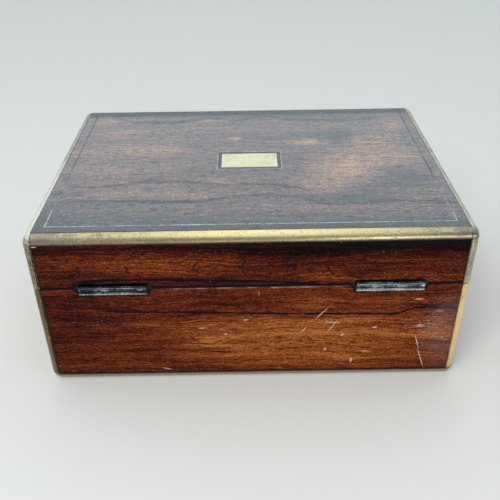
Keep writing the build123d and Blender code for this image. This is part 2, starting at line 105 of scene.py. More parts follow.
def add(tree, kind, inputs=None, out=0, stops=None, points=None, **settings):
    """Adds a shader node with its settings and feeds each input a value or another node's socket.
    stops are a ramp's (place, colour) and points a curve's (x, y). Returns the output asked for."""
    node = tree.nodes.new("ShaderNode" + kind)
    for key, value in settings.items():
        setattr(node, key, value)
    for key, value in (inputs or {}).items():
        if isinstance(value, bpy.types.NodeSocket):
            tree.links.new(value, node.inputs[key])
        else:
            node.inputs[key].default_value = value
    if stops:
        while len(node.color_ramp.elements) < len(stops):
            node.color_ramp.elements.new(0.5)
        for element, (place, colour) in zip(node.color_ramp.elements, stops):
            element.position = place
            element.color = linear(colour)
    if points:
        curve = node.mapping.curves[0]
        while len(curve.points) < len(points):
            curve.points.new(0.5, 0.5)
        for point, place in zip(curve.points, points):
            point.location = place
        node.mapping.update()
    return node.outputs[out] if node.outputs else None


def new_material(name):
    """An empty material, and the node function bound to its tree."""
    material = bpy.data.materials.new(name)
    material.use_nodes = True
    material.node_tree.nodes.clear()
    return material, functools.partial(add, material.node_tree)


def finish_material(n, **surface):
    """Wires a Principled surface to the output. Keys are its sockets with _ for a space."""
    inputs = {key.replace("_", " "): value for key, value in surface.items()}
    n("OutputMaterial", {"Surface": n("BsdfPrincipled", inputs)})


def object_mm(n):
    """Object coordinates in millimetres, as a vector and as x, y and z."""
    vector = n("VectorMath", {0: n("TexCoord", out="Object"), "Scale": 1 / MM}, operation="SCALE")
    return vector, [n("SeparateXYZ", {0: vector}, out=axis) for axis in "XYZ"]


def patches(n, place, length, width, detail=2.0, roughness=0.5):
    """Cloudy noise in patches about length by width millimetres, from 0 to 1."""
    shrunk = n("VectorMath", {0: place, 1: (1 / length, 1 / width, 1 / width)}, operation="MULTIPLY")
    return n("TexNoise", {"Vector": shrunk, "Scale": 1.0, "Detail": detail, "Roughness": roughness})


def fade(n, value, start, end, low=0.0, high=1.0):
    """A soft step: low where value is at start, high where it is at end."""
    return n("MapRange", {"Value": value, "From Min": start, "From Max": end, "To Min": low,
                          "To Max": high}, interpolation_type="SMOOTHSTEP")


def sum_of(n, first, *terms):
    """first plus each socket times its weight."""
    for socket, weight in terms:
        first = n("Math", {0: socket, 1: weight, 2: first}, operation="MULTIPLY_ADD")
    return first


def product(n, first, *others):
    """The product of several sockets or numbers."""
    return functools.reduce(lambda a, b: n("Math", {0: a, 1: b}, operation="MULTIPLY"), others, first)


def strongest(n, masks):
    """The highest of several masks. A generator is drawn on one by one, so that each mask is used as
    soon as it is made and a shader with many of them stays within the renderer's stack."""
    return functools.reduce(lambda a, b: n("Math", {0: a, 1: b}, operation="MAXIMUM"), masks)


def blend(n, share, under, over):
    """One colour over another. Each is a socket or a hex value, and share how much of over shows."""
    under, over = (linear(colour) if isinstance(colour, str) else colour for colour in (under, over))
    return n("Mix", {0: share, 6: under, 7: over}, out=2, data_type="RGBA")


def mark(n, place, centre, size, turn=0.0):
    """An oval mark that is 1 at its centre and 0 at its rim. size is its length and width."""
    fit = {"Vector": place, "Location": (*centre, 0.0), "Rotation": (0.0, 0.0, math.radians(turn)),
           "Scale": (size[0] / 2, size[1] / 2, 1.0)}
    moved = n("Mapping", fit, vector_type="TEXTURE")
    return n("TexGradient", {"Vector": moved}, out="Fac", gradient_type="SPHERICAL")


def marks(n, place, ovals):
    """The strongest of many marks, each given by centre, size, turn and strength."""
    return strongest(n, (product(n, mark(n, place, centre, size, turn), strength)
                         for centre, size, turn, strength in ovals))


def tints(n, place, ovals):
    """The sum of many marks, each given by centre, size and weight."""
    total = 0.0
    for centre, size, weight in ovals:
        total = sum_of(n, total, (mark(n, place, centre, size), weight))
    return total


def hairlines(n, place, width, routes):
    """Thin marks that run from corner to corner of each route and fade out at their ends."""
    ovals = []
    for corners in routes:
        for start, end in zip(corners, corners[1:]):
            along, across = end[0] - start[0], end[1] - start[1]
            middle = ((start[0] + end[0]) / 2, (start[1] + end[1]) / 2)
            turn = math.degrees(math.atan2(across, along))
            ovals.append((middle, (1.3 * math.hypot(along, across), width), turn, 1.0))
    return marks(n, place, ovals)


def figure_line(n, along, across, route, reach, width):
    """A black growth line. route is its (along, across) points in millimetres, reach the face's
    size both ways, and width the line's. It is sharp on its lower side, soft on its upper, frayed
    along the grain, and swells and thins along its length."""
    share = n("Math", {0: along, 1: reach[0]}, operation="DIVIDE")
    line = n("FloatCurve", {"Value": share}, points=[(x / reach[0], y / reach[1]) for x, y in route])
    grain = patches(n, n("CombineXYZ", {"X": along, "Y": across}), 11.0, 0.25 * width, 1.0)
    level = sum_of(n, -0.35 * width, (line, -reach[1]), (across, 1.0), (grain, 0.7 * width))
    thickness = patches(n, n("CombineXYZ", {"X": along, "Y": width}), 30.0, 1.0, 1.0)
    level = n("Math", {0: level, 1: fade(n, thickness, 0.35, 0.6, 0.6, 1.15)}, operation="DIVIDE")
    above = fade(n, level, width, 0.0)
    below = fade(n, level, -0.4 * width, 0.0)
    first, last = route[0][0], route[-1][0]
    ends = product(n, fade(n, along, first, first + 20), fade(n, along, last, last - 30))
    return fade(n, product(n, above, below, ends), 0.0, 0.6)


def rosewood(n, along, across, seed, coarse, swirls=()):
    """The figure of rosewood, as a tone from about 0, black, to 1, light, and its open pores.
    along and across run with and over the grain, in millimetres, and seed picks the sheet of
    veneer. Streaks and pores are 0.1 to 0.3 mm wide on the real wood, too fine to show, so they are
    drawn coarse times 0.7 mm wide. swirls are ovals (centre, size, lift) that the grain bends round."""
    place = n("CombineXYZ", {"X": along, "Y": across, "Z": seed})
    sway = patches(n, place, 190.0, 60.0, 1.0)
    ripple = patches(n, place, 46.0, 22.0, 2.0)
    bent = sum_of(n, across, (sway, 26.0), (ripple, 9.0),
                  *((mark(n, place, centre, size), lift) for centre, size, lift in swirls))
    bent_place = n("CombineXYZ", {"X": along, "Y": bent, "Z": seed})
    bands = patches(n, bent_place, 260.0, 6.0 * coarse, 2.0)
    streaks = patches(n, bent_place, 60.0, 1.3 * coarse, 2.0, 0.6)
    fibres = patches(n, bent_place, 30.0, 0.55 * coarse, 1.0)
    flecks = patches(n, place, 1.8, 0.7 * coarse, 1.0)
    weights = (0.7, 0.5, 0.6, 0.9)
    tone = sum_of(n, 0.5 - 0.5 * sum(weights), *zip((bands, streaks, fibres, flecks), weights))
    pores = fade(n, patches(n, bent_place, 8.0, 0.55 * coarse, 0.0), 0.6, 0.68)
    return tone, pores


def veneer(name, along_axis, across_axis, seed, coarse, stops, shading, swirls=(), scar_and_glint="#d8c6b4",
           growth="#0e0c15", **surface):
    """A polished rosewood veneer. shading adds what one face has of its own: it is given the node
    function and x, y, z, and returns a change of tone, a pale and a black mask, the first two of
    which may be None. The two colours after swirls are those of the pale marks, painted highlights
    among them, and of the black ones, painted shade among them."""
    material, n = new_material(name)
    vector, xyz = object_mm(n)
    along, across = xyz[along_axis], xyz[across_axis]
    tone, pores = rosewood(n, along, across, seed, coarse, swirls)
    shift, pale, black = shading(n, xyz)
    if shift:
        tone = n("Math", {0: tone, 1: shift}, operation="ADD")
    tone = sum_of(n, tone, (pores, -0.34))
    colour = blend(n, black, n("ValToRGB", {"Fac": tone}, stops=stops), growth)
    # Rubbing with dust and grit leaves fine dull lines all over old polish
    haze = patches(n, vector, 14.0, 14.0, 3.0)
    dust_lines = n("CombineXYZ", {"X": along, "Y": across, "Z": seed})
    scuffs = fade(n, patches(n, dust_lines, 16.0, 0.7, 1.0), 0.62, 0.75)
    rough = sum_of(n, surface.pop("Roughness"), (haze, 0.12), (scuffs, 0.14), (pores, 0.1))
    if "Coat_Weight" in surface:
        # Open pores and black marks, growth lines and painted shade alike, take less polish
        surface["Coat_Weight"] = sum_of(n, surface["Coat_Weight"], (pores, -0.3), (black, -0.5))
    height = sum_of(n, 0.0, (pores, -1.0), (haze, 0.8), (scuffs, -0.3))
    if pale:
        colour = blend(n, pale, colour, scar_and_glint)
        rough = sum_of(n, rough, (pale, 0.3))
        height = sum_of(n, height, (pale, -0.8))
    bump = n("Bump", {"Height": height, "Strength": 0.4, "Distance": 0.04 * MM})
    finish_material(n, Base_Color=colour, Roughness=rough, Normal=bump, **surface)
    return material


# French-polished rosewood on the sides: deep red-brown with black growth lines
side_stops = ((0.0, "#0d0202"), (0.25, "#350f07"), (0.5, "#5e240e"), (0.75, "#87441b"), (1.0, "#b06d36"))
# The same wood on the lid's top, which daylight has made paler and greyer; the blue-grey of its
# darker stops is partly a painted sky reflection
top_stops = ((0.0, "#0e1d27"), (0.28, "#303942"), (0.5, "#5b4f4e"), (0.68, "#7c6156"), (1.0, "#ba8e6a"))


def joint_grime_and_shade(n, xyz):
    """Dirt in the joint of the lid and base, and painted shade there: a black line just above it."""
    joint = product(n, fade(n, xyz[2], parting / MM + 0.9, parting / MM + 0.5),
                    fade(n, xyz[2], parting / MM - 0.2, parting / MM + 0.1))
    return None, None, joint


# The back face. Places on it are given in millimetres from the end that is left in view,
# called seen, and from the ground, called up. wobble is a noise that makes straight borders uneven
def back_figure(n, place, seen, up, wobble):
    """The black figure: growth lines that close in on knots, cracks in the old polish, and rings."""
    wavy = sum_of(n, up, (n("Math", {0: wobble, 1: 0.5}, operation="SUBTRACT"), 1.6))
    face = (2 * back_seen, box_height / MM)
    base_line = figure_line(n, seen, wavy, (
        (40, 66.5), (46, 65.7), (80, 64.1), (116, 63.4), (154, 61.7), (172, 60.9), (201, 60.3),
        (236, 59.6), (254, 59.2), (261, 61.8), (275, 65.2), (293, 63.9), (330, 63.9)), face, 2.0)
    lid_line = figure_line(n, seen, wavy, (
        (8, 85.3), (20, 85.5), (28, 87.0), (33, 89.2), (39, 90.7), (48, 91.7), (60, 92.2), (80, 92.2),
        (110, 91.2), (134, 90.3), (153, 89.9), (165, 89.2), (186, 87.6), (206, 85.9),
        (216, 85.2)), face, 3.0)
    black = strongest(n, (base_line, lid_line))
    eyes = marks(n, place, (
        ((84, 23.6), (17, 3.6), 0, 1.0), ((226, 33), (12, 3), 0, 1.0), ((128, 26), (30, 2.6), -4, 1.0),
        ((140, 47), (26, 2.2), 0, 1.0), ((63, 28), (46, 2.2), 4, 1.0), ((50, 57), (60, 2.8), -2, 1.0),
        ((176, 107), (5, 14), -25, 1.0), ((107, 108), (34, 1.6), 22, 1.0)))
    black = strongest(n, (black, fade(n, eyes, 0.1, 0.8, 0.0, 0.7)))
    cracks = hairlines(n, place, 1.5, (
        ((29, 112), (28.5, 107)), ((35.5, 105), (33.5, 101), (36, 99)),
        ((66, 104.5), (69, 102), (67, 99.5), (71, 98)), ((117, 107), (112.5, 102.5), (117, 97)),
        ((149, 107), (145, 102), (149, 96)), ((176, 100), (180, 104), (183, 98)),
        ((190, 101), (194, 96)), ((204, 103), (206, 97), (210, 95))))
    black = strongest(n, (black, fade(n, cracks, 0.0, 0.5)))
    rings = hairlines(n, place, 1.8, (
        ((100, 42), (103, 38), (110, 33), (121, 28.8), (137, 28.5)),
        ((107, 41.7), (114, 35), (122, 33), (131, 38)), ((61, 22), (72, 17), (89, 17.5), (98, 15)),
        ((186, 36), (191.5, 41), (198, 33)), ((128, 33), (140, 37), (158, 34)),
        ((30, 50), (48, 53), (70, 50), (90, 51)), ((226, 92), (233, 97), (240, 101.5), (253, 102.6))))
    return strongest(n, (black, fade(n, rings, 0.0, 0.45, 0.0, 0.55)))


def back_grime_and_shade(n, black, xyz, seen, up, wobble):
    """The black figure with painted shade added: in the joint, in a band over it, and under the top
    edging, and, with dirt in the seams, beside the uprights and the bottom edging."""
    above_joint = n("Math", {0: up, 1: parting / MM + 1.0}, operation="SUBTRACT")
    over_parting = fade(n, up, parting / MM - 0.2, parting / MM + 0.1)
    black = strongest(n, (black, product(n, fade(n, above_joint, 2.0, 1.2), over_parting)))
    shade_over_joint = product(n, fade(n, above_joint, 6.0, 1.5), over_parting, fade(n, seen, 60.0, 120.0),
                     fade(n, seen, 236.0, 190.0), 0.6)
    black = strongest(n, (black, shade_over_joint))
    black = strongest(n, (black, product(n, fade(n, sum_of(n, up, (wobble, 3.0)), 117.0, 121.5),
                                         fade(n, seen, 90.0, 220.0, 0.25, 0.8))))
    edge = n("Math", {0: xyz[0]}, operation="ABSOLUTE")
    black = strongest(n, (black, fade(n, edge, rebate_x / MM - 1.3, rebate_x / MM)))
    low = sum_of(n, up, (wobble, -1.5))
    return strongest(n, (black, fade(n, low, brass_radius / MM + 1.0, brass_radius / MM - 0.8)))


def back_tints(n, place, seen, up, wobble):
    """Where the wood is lighter or darker: a light heart low on the right, a dark end on the left, and
    painted shade under the top edging."""
    lighter = tints(n, place, (
        ((200, 36), (250, 90), 0.4), ((132, 33), (90, 34), 0.2), ((120, 36), (36, 14), 0.2),
        ((43, 51), (60, 12), 0.1), ((85, 105), (150, 30), 0.2), ((24, 60), (110, 110), -0.22),
        ((258, 108), (190, 40), -0.12), ((150, 75), (320, 24), -0.1), ((196, 71), (50, 16), 0.3),
        ((250, 71), (90, 16), 0.22), ((190, 58), (50, 12), -0.15), ((240, 48), (130, 20), -0.1),
        ((40, 33), (80, 26), 0.14), ((245, 30), (70, 14), 0.14), ((120, 80), (70, 9), -0.2),
        ((180, 108), (90, 26), -0.16), ((205, 96), (40, 14), 0.16)))
    return sum_of(n, lighter, (fade(n, up, parting / MM, parting / MM + 4.0), -0.05),
                  (product(n, fade(n, sum_of(n, up, (wobble, 4.0)), 107.0, 121.0),
                           fade(n, seen, 60.0, 220.0, 0.4, 1.0)), -0.34))


def back_scars(n, place, seen, up):
    """Scratches and bruises, the nicks of the end that was knocked about, a painted glint, and a
    painted highlight along the base's top edge.
    """
    scratches = hairlines(n, place, 1.0, (
        ((207, 66.6), (197, 55)), ((192, 49), (187.5, 43)), ((214, 54.5), (206.6, 43.4)),
        ((204, 52.6), (216, 52.6)), ((271, 40), (275.5, 26)), ((274.5, 27), (281.5, 6.5)),
        ((84, 11), (92, 9))))
    # One bruise, at (8.5, 120.6) under the left end of the top edging, is a painted glint
    bruises = marks(n, place, (
        ((157.4, 79.5), (8, 1), 90, 0.5), ((217.8, 40.8), (3.4, 2), 25, 1.0), ((133, 43), (4, 1.6), 5, 1.0),
        ((116, 49), (7, 1.2), 3, 1.0), ((8.5, 120.6), (5, 1.1), 0, 1.0), ((148, 55.9), (5, 1.4), 10, 1.0),
        ((206, 27), (4, 2.2), 60, 1.0), ((236, 24.5), (22, 3), -9, 0.4), ((241, 47.4), (5, 1.6), 20, 1.0),
        ((226, 15.6), (2.2, 6), 0, 1.0), ((274, 48), (16, 5), 4, 0.45), ((270, 72.4), (9, 1.2), 4, 1.0),
        ((286, 61.5), (18, 6), -3, 0.35)))
    pale = fade(n, strongest(n, (scratches, bruises)), 0.1, 0.6, 0.0, 0.8)
    worn_end = mark(n, place, (282, 46), (90, 70))
    nicks = sum_of(n, patches(n, place, 5.0, 1.3, 3.0, 0.7), (worn_end, 0.22))
    pale = strongest(n, (pale, fade(n, nicks, 0.76, 0.84, 0.0, 0.65)))
    pale = strongest(n, (pale, fade(n, patches(n, place, 2.2, 1.5, 1.0), 0.74, 0.82, 0.0, 0.4)))
    # A painted highlight in broken lengths along the base's top edge, below the joint
    rim_highlight = product(n, fade(n, up, parting / MM - 1.0, parting / MM - 0.7),
                  fade(n, up, parting / MM, parting / MM - 0.2),
                  fade(n, seen, 92.0, 100.0), fade(n, seen, 228.0, 220.0),
                  fade(n, patches(n, place, 9.0, 9.0, 2.0), 0.44, 0.62, 0.04, 0.24))
    scuffed = fade(n, mark(n, place, (296, 42), (60, 96)), 0.1, 0.6)
    dusty = product(n, scuffed, patches(n, place, 5.0, 3.0, 2.0), 0.13)
    return strongest(n, (pale, rim_highlight, dusty))


def back_shading(n, xyz):
    """What the back face shows: its figure, painted shade at the joint and under the top edging, a lighter
    heart, scratches, and painted highlights.
    """
    seen = n("Math", {0: back_seen, 1: xyz[0]}, operation="SUBTRACT")
    up = xyz[2]
    place = n("CombineXYZ", {"X": seen, "Y": up, "Z": 0.0})
    wobble = patches(n, place, 11.0, 6.0, 2.0)
    black = back_grime_and_shade(n, back_figure(n, place, seen, up, wobble), xyz, seen, up, wobble)
    lighter = back_tints(n, place, seen, up, wobble)
    return lighter, back_scars(n, place, seen, up), black


def top_shading(n, xyz):
    """What the lid's top shows: dark growth lines along it, tan patches, a dark strip of painted dim
    reflection along the edge over the lock, and specks of dust. Places are given in millimetres from
    the end that is left in view and from the hinged edge."""
    seen = n("Math", {0: back_seen, 1: xyz[0]}, operation="SUBTRACT")
    far = n("Math", {0: half_depth / MM, 1: xyz[1]}, operation="SUBTRACT")
    place = n("CombineXYZ", {"X": seen, "Y": far, "Z": 0.0})
    wobble = patches(n, place, 16.0, 7.0, 2.0)
    wavy = sum_of(n, far, (n("Math", {0: wobble, 1: 0.5}, operation="SUBTRACT"), 3.0))
    face = (2 * back_seen, 2 * half_depth / MM)
    near_line = figure_line(n, seen, wavy, (
        (5, 46.4), (23, 47.1), (38, 48.3), (54, 47.1), (76, 45.4), (97, 44), (117, 45.1), (130, 47.9),
        (138, 50.9), (149, 52.8), (180, 50.8), (194, 45.9), (200, 40.3), (213, 37.9), (227, 37.9),
        (242, 40.1), (254, 42.9), (263, 41.5), (278, 39), (320, 38)), face, 4.8)
    middle_line = figure_line(n, seen, wavy, (
        (6, 75), (15, 73), (29, 69.1), (46, 69.6), (61, 72.8), (77, 75.8), (94, 75.2), (116, 73.2),
        (138, 70.2), (149, 71), (170, 68), (186, 64), (196, 60), (208, 57)), face, 4.6)
    far_line = figure_line(n, seen, wavy, (
        (24, 212), (30, 207.2), (43, 195.9), (63, 191.6), (90, 192.2), (103, 195.2), (123, 199.6),
        (143, 193.6), (149, 196.9), (163, 201.8), (173, 202.8), (184, 195.5), (215, 190.7),
        (241, 189.7), (265, 193.9), (283, 198.4)), face, 6.2)
    black = product(n, strongest(n, (near_line, middle_line, far_line)),
                    fade(n, patches(n, place, 22.0, 1.7, 2.0), 0.34, 0.6, 0.4, 0.75))
    eyes = marks(n, place, (((58, 133), (12, 6), 0, 1.0), ((137, 145), (16, 5), 0, 1.0),
                            ((198, 99), (5, 2.5), 0, 1.0), ((74, 49), (7, 2.4), 0, 1.0)))
    black = strongest(n, (black, fade(n, eyes, 0.2, 1.0, 0.0, 0.5)))
    cracks = hairlines(n, place, 1.7, (
        ((8, 207), (30, 206)), ((117, 119), (128, 128)), ((112, 112), (127, 116))))
    black = strongest(n, (black, product(n, cracks, 0.6)))
    # A dark strip along the edge over the lock: painted dim reflection
    black = strongest(n, (black, fade(n, sum_of(n, far, (wobble, 6.0)), 206.0, 214.0)))
    # The tint at 226 mm, along that edge, adds to the painted dim reflection
    lighter = tints(n, place, (
        ((206, 68), (56, 34), 0.34), ((228, 98), (84, 72), 0.5), ((244, 132), (60, 46), 0.24),
        ((262, 156), (60, 44), 0.3), ((272, 116), (56, 60), 0.3), ((280, 178), (44, 50), 0.26),
        ((202, 146), (46, 32), 0.34), ((225, 156), (36, 40), -0.34), ((266, 82), (56, 54), -0.2),
        ((228, 47), (84, 20), -0.42), ((65, 131), (80, 40), 0.16), ((90, 137), (40, 20), 0.1),
        ((22, 196), (44, 34), 0.26), ((42, 168), (50, 26), 0.2), ((141, 155), (16, 12), 0.55),
        ((116, 197), (50, 14), 0.3), ((184, 190), (40, 14), 0.12), ((47, 92), (90, 20), 0.2),
        ((110, 58), (160, 24), 0.16), ((150, 14), (520, 60), -0.14), ((150, 226), (460, 56), -0.6),
        ((8, 14), (70, 60), -0.4), ((150, 8), (1200, 26), -0.4), ((60, 140), (190, 190), 0.12)))
    dust = patches(n, place, 2.0, 2.8, 1.0)
    pale = strongest(n, (fade(n, dust, 0.62, 0.78, 0.0, 0.28), fade(n, dust, 0.8, 0.84, 0.0, 0.5)))
    return lighter, pale, black


# Wax and handling leave the sides deep and the top with a milky gloss
side_polish = {"Roughness": 0.2, "Specular_IOR_Level": 0.045}
rosewood_back = veneer(
    "french_polished_rosewood_back", along_axis=0, across_axis=2, seed=3.7, coarse=1.0,
    stops=side_stops, shading=back_shading, swirls=(
        ((20, 34), (70, 22), 5.0), ((-60, 40), (110, 26), -4.0), ((-30, 100), (120, 24), 4.0),
        ((45, 28), (60, 18), -4.0)), **side_polish)
rosewood_front = veneer(
    "french_polished_rosewood_front", along_axis=0, across_axis=2, seed=11.3, coarse=1.0,
    stops=side_stops, shading=joint_grime_and_shade, swirls=(((10, 50), (150, 60), 9.0),), **side_polish)
rosewood_end = veneer(
    "french_polished_rosewood_end", along_axis=1, across_axis=2, seed=23.9, coarse=1.0,
    stops=side_stops, shading=joint_grime_and_shade, swirls=(((20, 60), (130, 70), 8.0),), **side_polish)
# The lid's top, whose black marks take a painted blue of sky reflection
rosewood_top = veneer(
    "sun_faded_rosewood_top_painted_sky_tint", along_axis=0, across_axis=1, seed=31.4, coarse=2.2,
    stops=top_stops, shading=top_shading, swirls=(
        ((-82, 4), (110, 80), 12.0), ((70, -20), (90, 60), -10.0), ((-60, 60), (70, 40), 8.0)),
    scar_and_glint="#cdd3d8", growth="#051c2c", Roughness=0.26, Specular_IOR_Level=1.0, Coat_Weight=1.0,
    Coat_Roughness=0.2)


def plain_wood(name, along_axis, hex_dark, hex_light, roughness, shaded_skin=None):
    """A waxed straight-grained wood, whose fibres run along one axis. Fibres are drawn about twice
    too wide, so that they show. The last argument is a pair of places along Y, in millimetres,
    between which the wood is painted black as shade."""
    material, n = new_material(name)
    xyz = object_mm(n)[1]
    others = [xyz[i] for i in range(3) if i != along_axis]
    place = n("CombineXYZ", {"X": xyz[along_axis], "Y": others[0], "Z": others[1]})
    bands = patches(n, place, 120.0, 7.0, 2.0)
    fibres = patches(n, place, 12.0, 0.6, 2.0)
    pores = fade(n, patches(n, place, 4.0, 0.5, 0.0), 0.62, 0.7)
    tone = sum_of(n, 0.5 - 0.5 * (1.2 + 1.1), (bands, 1.2), (fibres, 1.1), (pores, -0.3))
    colour = blend(n, tone, hex_dark, hex_light)
    if shaded_skin:
        # Painted shade, black, where the skin shows in the hinges' mortises
        colour = blend(n, fade(n, xyz[1], *shaded_skin), colour, "#0e0c0d")
    bump = n("Bump", {"Height": sum_of(n, 0.0, (pores, -1.0), (fibres, 0.6)), "Strength": 0.4,
                      "Distance": 0.05 * MM})
    finish_material(n, Base_Color=colour, Roughness=sum_of(n, roughness, (fibres, 0.15)), Normal=bump,
                    Specular_IOR_Level=0.3)
    return material


# Mahogany boards under the veneer: plain red-brown and oiled, with painted shade, black, where
# the hinges' mortises open at the back
mortise_mouth = (110.2, 110.9)
carcass_long = plain_wood("oiled_mahogany_long", 0, "#4a2414", "#8d5434", 0.45, mortise_mouth)
carcass_end = plain_wood("oiled_mahogany_end", 1, "#4a2414", "#8d5434", 0.45)
# Thin rosewood that lines the compartments, waxed to a soft dark sheen
liner_long = plain_wood("waxed_rosewood_long", 0, "#2a0f09", "#6d3420", 0.32)
liner_end = plain_wood("waxed_rosewood_end", 1, "#2a0f09", "#6d3420", 0.32)
# The plate's border: pearwood dyed black, coloured a dark grey
ebony = plain_wood("ebonised_pearwood", 0, "#4a4d52", "#6a6d72", 0.34)


def aged_metal(name, along_axis, clean, tarnished, tarnish, roughness, pits=0.3, beside_wood=0.0, wear_and_sheen=None,
               clean_lid=None):
    """Old rolled brass, or steel: tarnish in clouds and spots, with rubbed streaks along the length.
    Tarnish is least where the metal faces up and is wiped most. Streaks are drawn 0.9 mm wide, coarser
    than real ones, so that they show. pits is how much the small spots add to the tarnish, and
    beside_wood is how dark the edging is along its seams with the veneer, most under the top edging:
    dirt, with painted shade in the seams. The function that changes the tarnish from place to place is
    given the node function and x, y, z, and some such functions paint highlights and reflections as
    cleaner metal.
    clean_lid is the clean metal's colour on the lid, where it is another."""
    material, n = new_material(name)
    vector, xyz = object_mm(n)
    across = [i for i in range(3) if i != along_axis]
    place = n("CombineXYZ", {"X": xyz[along_axis], "Y": xyz[across[0]], "Z": xyz[across[1]]})
    clouds = patches(n, vector, 11.0, 11.0, 3.0, 0.6)
    streaks = patches(n, place, 14.0, 0.9, 2.0, 0.6)
    speckle = patches(n, vector, 1.1, 1.1, 1.0)
    spots = fade(n, patches(n, vector, 1.8, 1.8, 1.0), 0.6, 0.7)
    facing = n("SeparateXYZ", {0: n("TexCoord", out="Normal")}, out="Z")
    wiped = fade(n, facing, 0.0, 0.6)
    mottles, weights = (clouds, streaks, speckle), (1.5, 1.1, 1.6)
    cover = sum_of(n, tarnish - 0.5 * sum(weights), *zip(mottles, weights), (spots, pits), (wiped, -0.5),
                   *(wear_and_sheen(n, xyz) if wear_and_sheen else ()))
    if clean_lid:
        clean = blend(n, fade(n, xyz[2], parting / MM - 0.3, parting / MM + 0.3), clean, clean_lid)
    colour = blend(n, cover, clean, tarnished)
    if beside_wood:
        centre = (0.0, 0.0, 0.5 * box_height / MM)
        reach = (rebate_x / MM, rebate_y / MM, (0.5 * box_height - brass_radius) / MM)
        spread = (1.3, 1.3, 3.2)
        seams = []
        for i in across:
            inset = n("Math", {0: sum_of(n, -centre[i], (xyz[i], 1.0))}, operation="ABSOLUTE")
            uneven = sum_of(n, inset, (clouds, 1.2))
            seams.append(fade(n, uneven, reach[i] + spread[i], reach[i] + 0.5))
        # Dirt along the seams with the veneer, with painted shade in them
        colour = blend(n, product(n, strongest(n, seams), beside_wood), colour, "#2c2a26")
    rough = sum_of(n, roughness - 0.1, (streaks, 0.2), (spots, 0.15))
    height = sum_of(n, 0.0, (streaks, 0.5), (spots, -1.0), (clouds, 1.5))
    bump = n("Bump", {"Height": height, "Strength": 0.4, "Distance": 0.05 * MM})
    finish_material(n, Base_Color=colour, Roughness=rough, Metallic=1.0, Normal=bump)
    return material


def stringing_wear(n, xyz):
    """The brass line is rubbed bright along the hinged edge and round the plate, and dull elsewhere."""
    place = n("CombineXYZ", {"X": xyz[0], "Y": xyz[1]})
    by_plate = fade(n, mark(n, place, (0, 0), (160, 110)), 0.0, 0.3)
    return [(fade(n, xyz[1], 95.0, 10.0), 0.75), (by_plate, -0.7)]


def long_wear_and_sheen(n, xyz):
    """The long edging is dull at both ends, and painted cleaner and brighter in the middle as a
    reflection; its bottom lengths are darker.
    """
    return [(fade(n, xyz[0], -85.0, -140.0), 0.75), (fade(n, xyz[0], 20.0, 110.0, -0.1, 0.4), 1.0),
            (fade(n, xyz[0], 110.0, 140.0), 0.6), (fade(n, xyz[2], 12.0, 4.0), 0.8)]


def end_wear(n, xyz):
    """The end edging is wiped cleanest near the hinges, and more at one end. Its ball corners are dull."""
    one_end = fade(n, xyz[0], -20.0, 20.0)
    return [(one_end, -0.4), (product(n, one_end, fade(n, xyz[1], -20.0, 70.0, 0.6, -1.0)), 1.0),
            (fade(n, xyz[2], 12.0, 4.0), 0.8), (fade(n, xyz[1], 103.0, 108.0, 0.4, 1.0), 1.0),
            (product(n, one_end, fade(n, xyz[1], 103.0, 108.0)), 0.8)]


def upright_wear_and_sheen(n, xyz):
    """The uprights at one end are dull, most of all on the base. At the other end, cleaner and brighter
    metal is painted at the middle of the base as a reflection, and less so above and below it."""
    dull = fade(n, xyz[2], parting / MM + 0.3, parting / MM - 0.3, 0.2, 0.5)
    reflected_band = sum_of(n, 1.0, (fade(n, xyz[2], 50.0, 80.0), -0.75), (fade(n, xyz[2], 24.0, 8.0), -0.75))
    return [(product(n, fade(n, xyz[0], 20.0, -20.0), reflected_band), -1.0),
            (product(n, fade(n, xyz[0], -20.0, 20.0), dull), 1.0)]


def leaf_wear_highlights_and_shade(n, xyz):
    """The hinges have painted highlights, clean bright metal, along three rows of arrises, and painted
    shade, black, in the groove between the knuckles. A row is given by its height above the joint of
    lid and base and its width, in millimetres."""
    joint = parting / MM

    def row(height, width):
        return mark(n, n("CombineXYZ", {"Y": xyz[2]}), (0.0, joint + height), (1.0, width))

    rubbed = patches(n, n("CombineXYZ", {"X": xyz[0]}), 9.0, 9.0, 2.0)
    low_row, high_row, groove = row(-2.5, 1.5), row(2.3, 1.0), row(-0.8, 1.2)
    middle_row = product(n, row(0.7, 2.0), fade(n, rubbed, 0.5, 0.62))
    return [(low_row, -1.3), (high_row, -0.95), (middle_row, -1.3), (groove, 0.5),
            (fade(n, xyz[2], joint + 2.6, joint + 3.4), 0.2), (fade(n, xyz[0], 0.0, 60.0), 0.3)]


# Brass of the edging, for lengths that lie along X, Y and Z: golden along the back and front, paler
# along the ends, where the pale is a painted reflection of daylight, and a brown gold down the
# corners, whose parts on the lid are cleaner
edging_brass = [
    aged_metal("golden_edging_brass", 0, "#fbe5a8", "#b09a84", tarnish=0.55, roughness=0.3, pits=0.5,
               beside_wood=0.85, wear_and_sheen=long_wear_and_sheen),
    aged_metal("end_edging_brass_painted_daylight", 1, "#fff3dc", "#a39e8c", tarnish=0.5, roughness=0.28, pits=0.4,
               beside_wood=0.6, wear_and_sheen=end_wear),
    aged_metal("dull_edging_brass", 2, "#f8d496", "#6f5b40", tarnish=0.6, roughness=0.34, pits=0.4,
               beside_wood=0.3, wear_and_sheen=upright_wear_and_sheen, clean_lid="#cfc5ab"),
]
# The inlaid line has gone grey and shows as a pale thread only where it is rubbed
line_brass = aged_metal("pale_brass_line", 0, "#dde0da", "#62686a", tarnish=0.86, roughness=0.38,
                        wear_and_sheen=stringing_wear)
# The plate is the cleanest metal on the box, an even pale yellow
plate_brass = aged_metal("rubbed_plate_brass", 0, "#fffcd8", "#d2c87e", tarnish=0.6, roughness=0.3)
